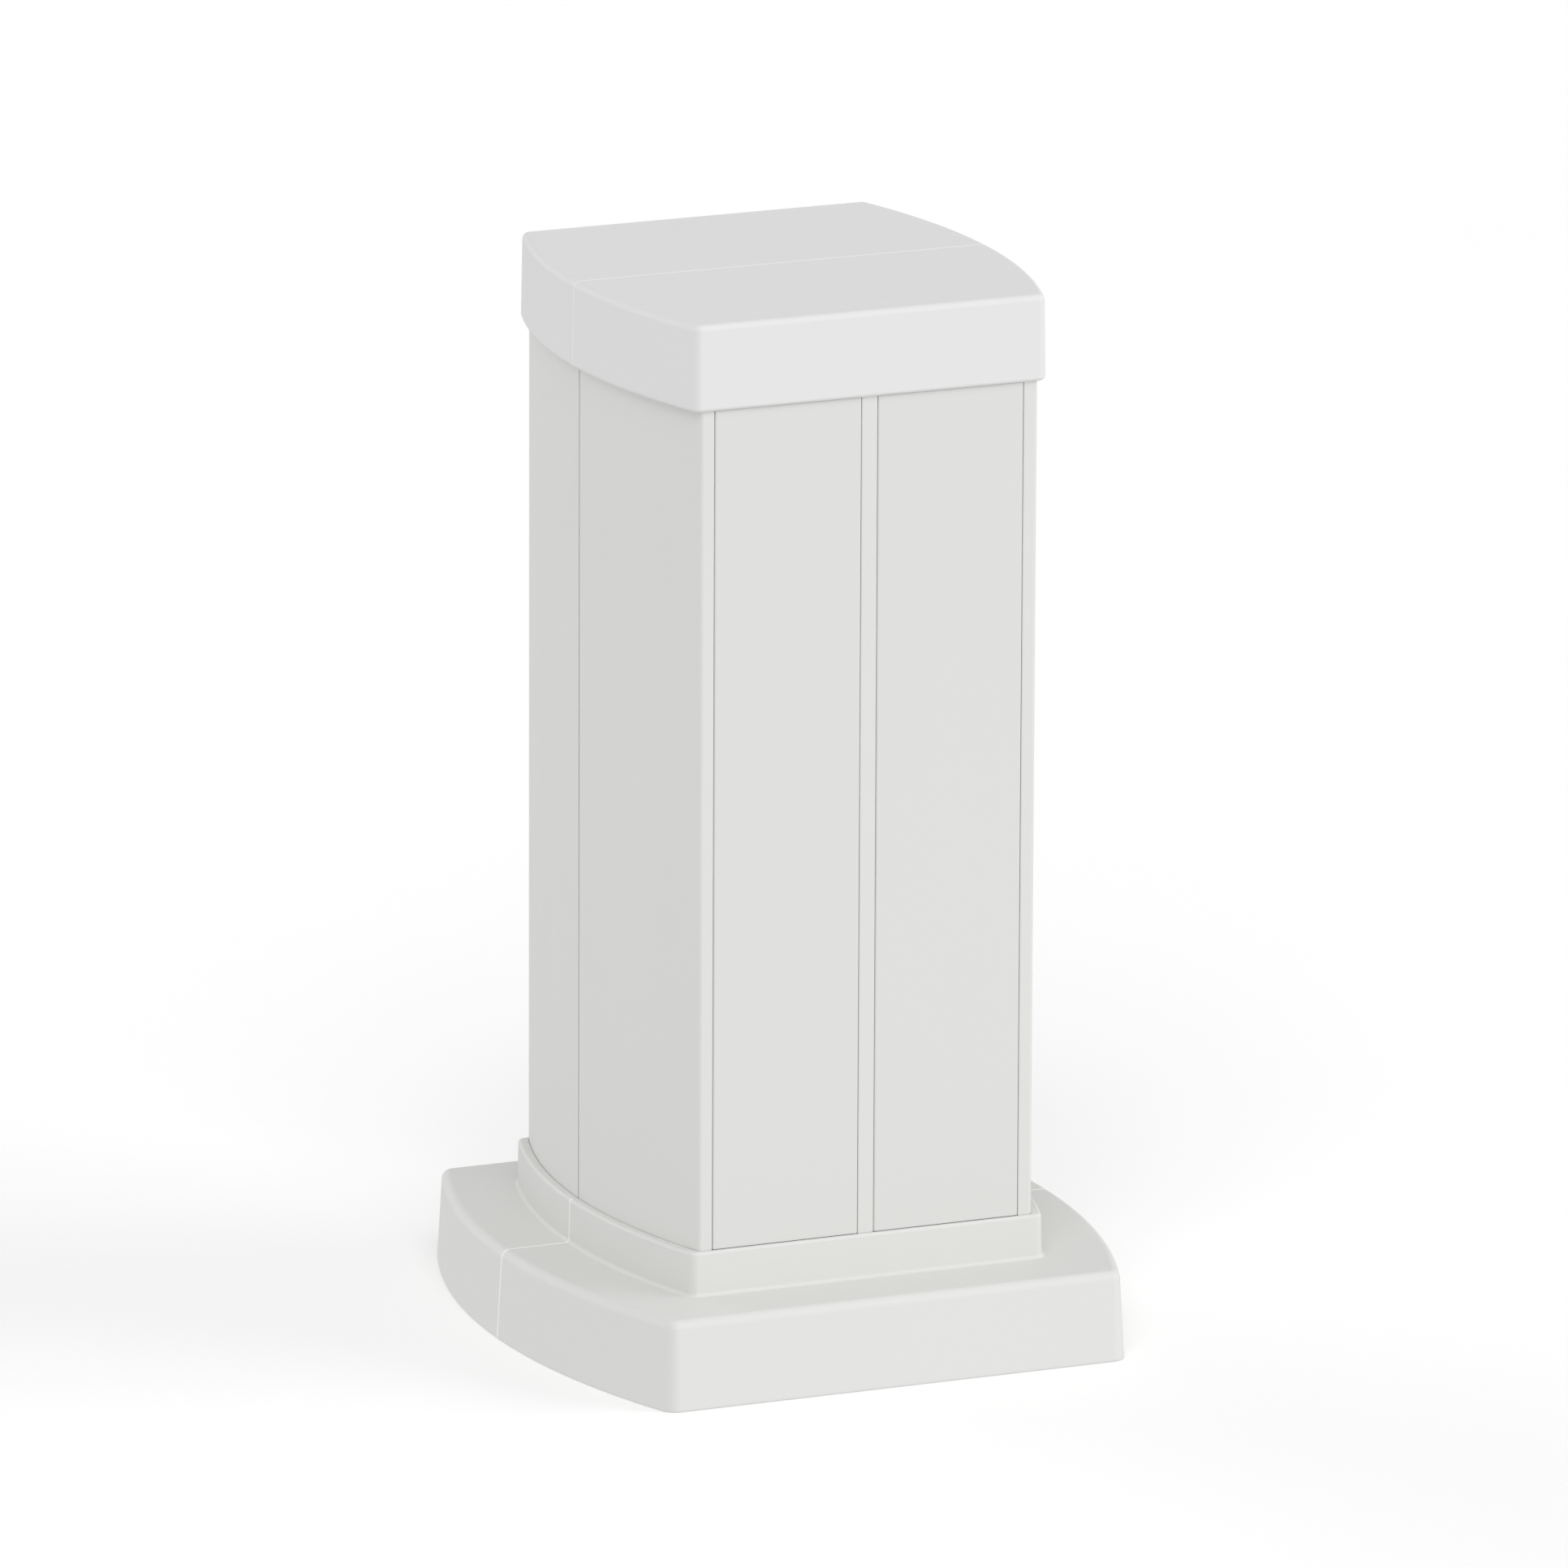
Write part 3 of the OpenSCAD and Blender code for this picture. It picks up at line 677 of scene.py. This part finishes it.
def top_loops(node):
    """Closed loops round the top end face of a CAD node, in millimetres."""
    me = NODES[node].data
    co = np.array([v.co for v in me.vertices], float) / MM
    top = co[:, 2].max()
    key = lambda i: (round(co[i, 0], 3), round(co[i, 1], 3))
    seen = {}
    for p in me.polygons:
        vs = list(p.vertices)
        if all(co[i, 2] > top - 1e-3 for i in vs):
            for a, b in zip(vs, vs[1:] + vs[:1]):
                ka, kb = key(a), key(b)
                if ka == kb:
                    continue
                e = (ka, kb)
                if (kb, ka) in seen:
                    del seen[(kb, ka)]
                else:
                    seen[e] = True
    nxt = {}
    for a, b in seen:
        nxt.setdefault(a, []).append(b)
    loops = []
    while nxt:
        start = min(nxt)
        loop = [start]
        cur = nxt[start].pop()
        if not nxt[start]:
            del nxt[start]
        while cur != start:
            loop.append(cur)
            n = nxt[cur].pop()
            if not nxt[cur]:
                del nxt[cur]
            cur = n
        loops.append(loop)
    return loops


def tidy(loop):
    """Drops points that lie on a straight line between their neighbours."""
    out = []
    n = len(loop)
    for k in range(n):
        p, q, s = (np.array(loop[j % n]) for j in (k - 1, k, k + 1))
        a, b = q - p, s - q
        cross = a[0] * b[1] - a[1] * b[0]
        if abs(cross) > 1e-4 * np.linalg.norm(a) * np.linalg.norm(b) or a @ b < 0:
            out.append(tuple(q))
    return out


def resample(loop, circles, step=2.2):
    """Puts more points on the long arcs, exactly on their circles."""
    out = []
    n = len(loop)
    for k in range(n):
        p, q = np.array(loop[k]), np.array(loop[(k + 1) % n])
        out.append(tuple(p))
        d = np.linalg.norm(q - p)
        if d < step:
            continue
        for (cx, cy), r in circles:
            c = np.array((cx, cy))
            if abs(np.linalg.norm(p - c) - r) < 0.01 and abs(np.linalg.norm(q - c) - r) < 0.01 and d < 25:
                m = int(math.ceil(d / step))
                a0 = math.atan2(*(p - c)[::-1])
                a1 = math.atan2(*(q - c)[::-1])
                da = (a1 - a0 + math.pi) % (2 * math.pi) - math.pi
                out += [(cx + r * math.cos(a0 + da * j / m), cy + r * math.sin(a0 + da * j / m)) for j in range(1, m)]
                break
    return out


def soften(loop, r, n=4, least=0.45):
    """Rounds the loop's real corners with a small radius."""
    out = []
    m = len(loop)
    for k in range(m):
        p, q, s = (np.array(loop[j % m]) for j in (k - 1, k, k + 1))
        a, b = q - p, s - q
        la, lb = np.linalg.norm(a), np.linalg.norm(b)
        turn = abs(math.degrees(math.atan2(a[0] * b[1] - a[1] * b[0], a @ b)))
        if turn > 28 and la > least and lb > least:
            out += [tuple(v) for v in round_corner(p, q, s, r, n)]
        else:
            out.append(tuple(q))
    return out


def prism(name, loops, z0, z1, mats, end_mat=0):
    pts, edges = [], []
    for loop in loops:
        s = len(pts)
        pts += [Vector((float(x), float(y))) for x, y in loop]
        edges += [(s + k, s + (k + 1) % len(loop)) for k in range(len(loop))]
    vs, _, faces, _, _, _ = delaunay_2d_cdt(pts, edges, [], 0, 1e-5)
    rim = np.array([(pts[i].x, pts[i].y, pts[j].x, pts[j].y) for i, j in edges])

    def solid(f):
        x = sum(vs[k].x for k in f) / len(f)
        y = sum(vs[k].y for k in f) / len(f)
        over = (rim[:, 1] > y) != (rim[:, 3] > y)
        a, b, c, d = rim[over].T
        return int((a + (y - b) * (c - a) / (d - b) > x).sum()) % 2 == 1

    faces = [f for f in faces if solid(f)]
    bm = bmesh.new()
    lo = [bm.verts.new((v.x, v.y, z0)) for v in vs]
    hi = [bm.verts.new((v.x, v.y, z1)) for v in vs]
    count = {}
    for f in faces:
        a = bm.faces.new([hi[k] for k in f])
        b = bm.faces.new([lo[k] for k in reversed(f)])
        a.material_index = b.material_index = end_mat
        for i, j in zip(f, list(f[1:]) + [f[0]]):
            count[frozenset((i, j))] = count.get(frozenset((i, j)), 0) + 1
    for e, c in count.items():
        if c == 1:
            i, j = tuple(e)
            bm.faces.new((lo[i], lo[j], hi[j], hi[i]))
    bmesh.ops.recalc_face_normals(bm, faces=bm.faces)
    for v in [v for v in bm.verts if not v.link_faces]:
        bm.verts.remove(v)
    return new_object(name, bm, mats)


def body_piece():
    R, c = bow(COLUMN)
    circles = [((s * c, 0), R - i) for s in (1, -1) for i in (0, WALL)]
    loops = [soften(resample(tidy(l), circles), 0.3) for l in top_loops("front_body")]
    body = prism("front_body_visual", loops, COL_Z0, COL_Z1, [MAT["coat"], MAT["sawn"], MAT["joint"]], 1)
    tools = []
    for x, z in [(s * 24, h) for s in (-1, 1) for h in (64, COL_Z1 - 42)] + [(-47, 50), (47, 50)]:
        bm = lathe([(0, 0), (2.15, 0), (2.15, 5), (0, 5)], 32)
        tool = bm_object(bm)
        tool.data.transform(at(x, 1, z, 90))
        tools.append(tool)
    side = half_w(COLUMN, 0, 0)
    for s in (-1, 1):
        slot = block(s * side - 0.9, s * side + 0.9, -0.2, 1, COL_Z0 - 1, COL_Z1 + 1, 0)
        # The slot walls take material slot 2, the dark grey painted shade of the seam line.
        for f in slot.data.polygons:
            f.material_index = 2
        tools.append(slot)
    boolean(body, tools, "DIFFERENCE")
    return body


body = body_piece()
body_rear = turned(body, "rear_body_visual")
for o, n in ((body, "front_body"), (body_rear, "rear_body")):
    finish_mesh(o)
    place(o, "post", n, "coated_aluminium")


def cover_piece(node, name, play):
    lo, hi = mm_box(node)
    loops = [[(x + play, y) for x, y in soften(tidy(l), 0.25, 3)] for l in top_loops(node)]
    return prism(name, loops, lo[2], hi[2], [MAT["cover"]])


for node, play in (("cover_front_left", 0.05), ("cover_front_right", 0.04), ("cover_rear_left", -0.05), ("cover_rear_right", -0.04)):
    o = finish_mesh(cover_piece(node, node + "_visual", play))
    place(o, node, node, "white_cover_plastic")

# ------------------------------------------------------------ small hardware


def refine(node, name, mats, width, angle=35.0, segments=2):
    """A CAD node's own shape with its sharp edges broken, for small pressed and moulded parts."""
    bm = bmesh.new()
    bm.from_mesh(NODES[node].data)
    bmesh.ops.scale(bm, vec=(1 / MM,) * 3, verts=bm.verts)
    bmesh.ops.remove_doubles(bm, verts=bm.verts, dist=1e-3)
    bmesh.ops.dissolve_limit(bm, angle_limit=math.radians(0.4), verts=bm.verts, edges=bm.edges, delimit=set())
    sharp = [e for e in bm.edges if len(e.link_faces) == 2 and e.calc_face_angle(0) > math.radians(angle)]
    bevel_edges(bm, sharp, width, segments, True)
    return new_object(name, bm, mats)


def socket(r, depth, z_top):
    bm = lathe([(0, z_top - depth), (r, z_top - depth), (r, z_top + 1), (0, z_top + 1)], 6)
    return bm_object(bm)


def pan_screw(head_r, head_h, shank_r, length, pitch):
    """Pan head screw along -Z: the head's top is at +head_h, its seat at 0."""
    prof = rounded_profile([(0, head_h), (head_r * 0.62, head_h), (head_r, head_h * 0.5), (head_r, 0), (0, 0)], 0.5, 4)
    head = bm_object(lathe(prof, 48))
    boolean(head, [socket(1.45, 1.5, head_h)], "DIFFERENCE")
    rod = bm_object(thread(shank_r, 0.28, pitch, 0.0, length + 0.4))
    rod.data.transform(Matrix.Rotation(math.pi, 4, "X"))
    rod.data.transform(Matrix.Translation((0, 0, 0.4 * MM)))
    return boolean(head, [rod], "UNION")


def csk_screw():
    """Countersunk thread-forming screw along +Z, its flat head at z = 0."""
    prof = [(0, 0), (4.15, 0), (4.38, 0.12), (2.05, 2.45), (2.05, 2.9), (0, 2.9)]
    head = bm_object(lathe(prof, 48))
    sock = bm_object(lathe([(0, 1.2), (1.45, 1.2), (1.45, -1), (0, -1)], 6))
    boolean(head, [sock], "DIFFERENCE")
    rod = bm_object(thread(2.05, 0.35, 1.6, 2.6, 17.0))
    return boolean(head, [rod], "UNION")


ports = [(half_w(COLUMN, WALL, 40) - 3, -40.0), (half_w(COLUMN, WALL, 5.2) - 3.3, -5.2)]
screws = join(
    copies(csk_screw(), [at(sx * x, sy * y, 0) for x, y in ports for sx in (-1, 1) for sy in (-1, 1)]),
    "body_fixing_screws_visual",
    [MAT["zinc"]],
)
finish_mesh(screws)
place(screws, "post", "body_fixing_screws", "zinc_steel")

JOINTS = [(s * 24, z) for s in (-1, 1) for z in (64, COL_Z1 - 42)]
joining = join(
    copies(pan_screw(3.9, 2.6, 2.05, 9.4, 0.7), [at(x, -BACK_T, z, 90) for x, z in JOINTS]),
    "joining_screws_visual",
    [MAT["zinc"]],
)
finish_mesh(joining)
place(joining, "post", "joining_screws", "zinc_steel")

earth_screws = join(
    copies(pan_screw(3.6, 2.4, 2.05, 6.4, 0.7), [at(-47, -BACK_T - 0.8, 50, 90), at(47, BACK_T + 0.8, 50, 90, 0, 180)]),
    "earth_body_screws_visual",
    [MAT["zinc"]],
)
finish_mesh(earth_screws)
place(earth_screws, "post", "earth_body_screws", "zinc_steel")

studs = join(
    copies(bm_object(thread(2.5, 0.35, 0.8, plate_hi[2], plate_hi[2] + 10)), [at(-47, -22, 0), at(47, 22, 0)]),
    "earth_studs_visual",
    [MAT["zinc"]],
)
finish_mesh(studs)
place(studs, "post", "earth_studs", "zinc_steel")

for node, mat, width, slot in (
    ("floor_plate", "zinc", 0.2, "zinc_steel"),
    ("cable_entry_grommets", "rubber", 0.45, "black_rubber"),
    ("joining_washers", "zinc", 0.12, "zinc_steel"),
    ("joining_nuts", "zinc", 0.3, "zinc_steel"),
    ("earth_washers", "zinc", 0.14, "zinc_steel"),
    ("earth_nuts", "brass", 0.35, "plain_brass"),
    ("earth_ring_tags", "tinned", 0.12, "tinned_copper"),
    ("cable_retainers", "cover", 0.2, "white_cover_plastic"),
):
    o = finish_mesh(refine(node, node + "_visual", [MAT[mat]], width))
    place(o, "post", node, slot)


def lead(name):
    """Green bonding lead with a yellow stripe that winds slowly round it."""
    z0 = plate_hi[2] + 2.25
    y1 = -BACK_T - 2.25
    r = 5.0
    path = [(-14.5 + (y1 - r + 14.5) * k / 8, z0) for k in range(9)]
    path += [(y1 - r + r * math.sin(a), z0 + r - r * math.cos(a)) for a in (math.pi / 2 * k / 20 for k in range(1, 20))]
    top = 50 - 7.5
    path += [(y1, z0 + r + (top - z0 - r) * k / 48) for k in range(49)]
    n = 32
    bm = bmesh.new()
    rings = []
    run = 0.0
    runs = []
    for k, (y, z) in enumerate(path):
        a = path[max(k - 1, 0)]
        b = path[min(k + 1, len(path) - 1)]
        t = Vector((0, b[0] - a[0], b[1] - a[1])).normalized()
        side = Vector((1, 0, 0))
        up = t.cross(side)
        if k:
            run += math.hypot(y - path[k - 1][0], z - path[k - 1][1])
        runs.append(run)
        rad = 1.6 if 0 < k < len(path) - 1 else 1.45
        rings.append([bm.verts.new(Vector((-47, y, z)) + rad * (math.cos(q) * side + math.sin(q) * up)) for q in (2 * math.pi * (j + 0.5) / n + run * 0.045 for j in range(n))])
    for k, (a, b) in enumerate(zip(rings, rings[1:])):
        for j in range(n):
            f = bm.faces.new((a[j], a[(j + 1) % n], b[(j + 1) % n], b[j]))
            f.material_index = 1 if (j % 16) in (3, 4, 5, 6, 7) else 0
    bm.faces.new(rings[-1])
    bm.faces.new(list(reversed(rings[0])))
    bmesh.ops.recalc_face_normals(bm, faces=bm.faces)
    return new_object(name, bm, [MAT["green"], MAT["yellow"]])


lead_front = lead("earth_lead_front_visual")
lead_rear = turned(lead_front, "earth_lead_rear_visual")
for o, n in ((lead_front, "earth_lead_front"), (lead_rear, "earth_lead_rear")):
    finish_mesh(o, 50)
    place(o, "post", n, "lead_insulation")

# ------------------------------------------------------ floor, light, camera


def floor():
    bm = bmesh.new()
    bmesh.ops.create_grid(bm, x_segments=12, y_segments=12, size=12000.0)
    o = new_object("floor", bm, [])
    o.location.z = -0.0002
    m = Nodes("pale_floor")
    m.colour(m.blend(m.noise(3.0, 2.0), "Fac", (0.965, 0.965, 0.965), (0.98, 0.98, 0.98)))
    m.bsdf.inputs["Roughness"].default_value = 0.9
    m.bsdf.inputs["Specular IOR Level"].default_value = 0.1
    m.bsdf.inputs["Emission Color"].default_value = (1, 1, 1, 1)
    m.bsdf.inputs["Emission Strength"].default_value = 0.04
    geo = m.add("ShaderNodeNewGeometry")
    clear = m.add("ShaderNodeBsdfTransparent")
    mix = m.add("ShaderNodeMixShader")
    m.link(geo, "Backfacing", mix, "Fac")
    m.t.links.new(m.bsdf.outputs["BSDF"], mix.inputs[1])
    m.t.links.new(clear.outputs["BSDF"], mix.inputs[2])
    m.link(mix, "Shader", m.out, "Surface")
    o.data.materials.append(m.mat)
    o.visible_diffuse = False
    o.visible_glossy = False
    o.visible_shadow = False
    return o


floor()

LIGHTS = [
    # name, compass direction it comes from, height, strength
    ("right", 60, 20, 0.989),
    ("front", -23, 50, 1.006),
    ("rear", -150, 20, 0.474),
]
for name, az, el, strength in LIGHTS:
    a, e = math.radians(az), math.radians(el)
    away = Vector((math.sin(a) * math.cos(e), -math.cos(a) * math.cos(e), math.sin(e)))
    l = bpy.data.lights.new(name, "SUN")
    l.angle = math.radians(40)
    l.energy = strength
    o = bpy.data.objects.new(name, l)
    o.location = away * 3
    o.rotation_euler = away.to_track_quat("Z", "Y").to_euler()
    bpy.context.scene.collection.objects.link(o)

SKY = [(-1.0, 0.797), (-0.16, 0.797), (-0.09, 1.268), (0.07, 1.268), (0.16, 0.578), (1.0, 0.578)]
SKY_TOP = 1.268
world = bpy.data.worlds.new("studio")
world.use_nodes = True
wt = world.node_tree
bg = wt.nodes["Background"]
way = wt.nodes.new("ShaderNodeTexCoord")
split = wt.nodes.new("ShaderNodeSeparateXYZ")
up = wt.nodes.new("ShaderNodeMapRange")
up.inputs["From Min"].default_value = -1.0
ramp = wt.nodes.new("ShaderNodeValToRGB")
while len(ramp.color_ramp.elements) < len(SKY):
    ramp.color_ramp.elements.new(0.5)
for k, (z, v) in enumerate(SKY):
    ramp.color_ramp.elements[k].position = k / (len(SKY) - 1)
for k in range(len(SKY) - 1, -1, -1):
    ramp.color_ramp.elements[k].position = max((SKY[k][0] + 1) / 2, 0.0)
for k, (z, v) in enumerate(SKY):
    ramp.color_ramp.elements[k].color = (v / SKY_TOP,) * 3 + (1,)
bg.inputs["Strength"].default_value = SKY_TOP
wt.links.new(way.outputs["Generated"], split.inputs[0])
wt.links.new(split.outputs["Z"], up.inputs["Value"])
wt.links.new(up.outputs["Result"], ramp.inputs["Fac"])
wt.links.new(ramp.outputs["Color"], bg.inputs["Color"])
bpy.context.scene.world = world
bpy.context.scene.view_settings.view_transform = "Standard"
bpy.context.scene.view_settings.look = "None"


def camera():
    """A distant pinhole camera, fitted to the straight edges the view shows."""
    az, el, roll = math.radians(-23.03), math.radians(14.61), math.radians(0.24)
    dist, focal_px = 5.164, 22203.0
    back = Vector((math.sin(az) * math.cos(el), -math.cos(az) * math.cos(el), math.sin(el)))
    right = Vector((0, 0, 1)).cross(back).normalized()
    up = back.cross(right)
    r = right * math.cos(roll) + up * math.sin(roll)
    u = -right * math.sin(roll) + up * math.cos(roll)
    cam = bpy.data.cameras.new("camera")
    cam.sensor_width = 36.0
    cam.lens = focal_px / 1932 * 36.0
    cam.clip_start, cam.clip_end = 0.1, 60.0
    o = bpy.data.objects.new("camera", cam)
    place_at = Vector((0.0014, 0, 0.1556)) + back * dist
    o.matrix_world = Matrix(((r.x, u.x, back.x, place_at.x), (r.y, u.y, back.y, place_at.y), (r.z, u.z, back.z, place_at.z), (0, 0, 0, 1)))
    bpy.context.scene.collection.objects.link(o)
    bpy.context.scene.camera = o


camera()
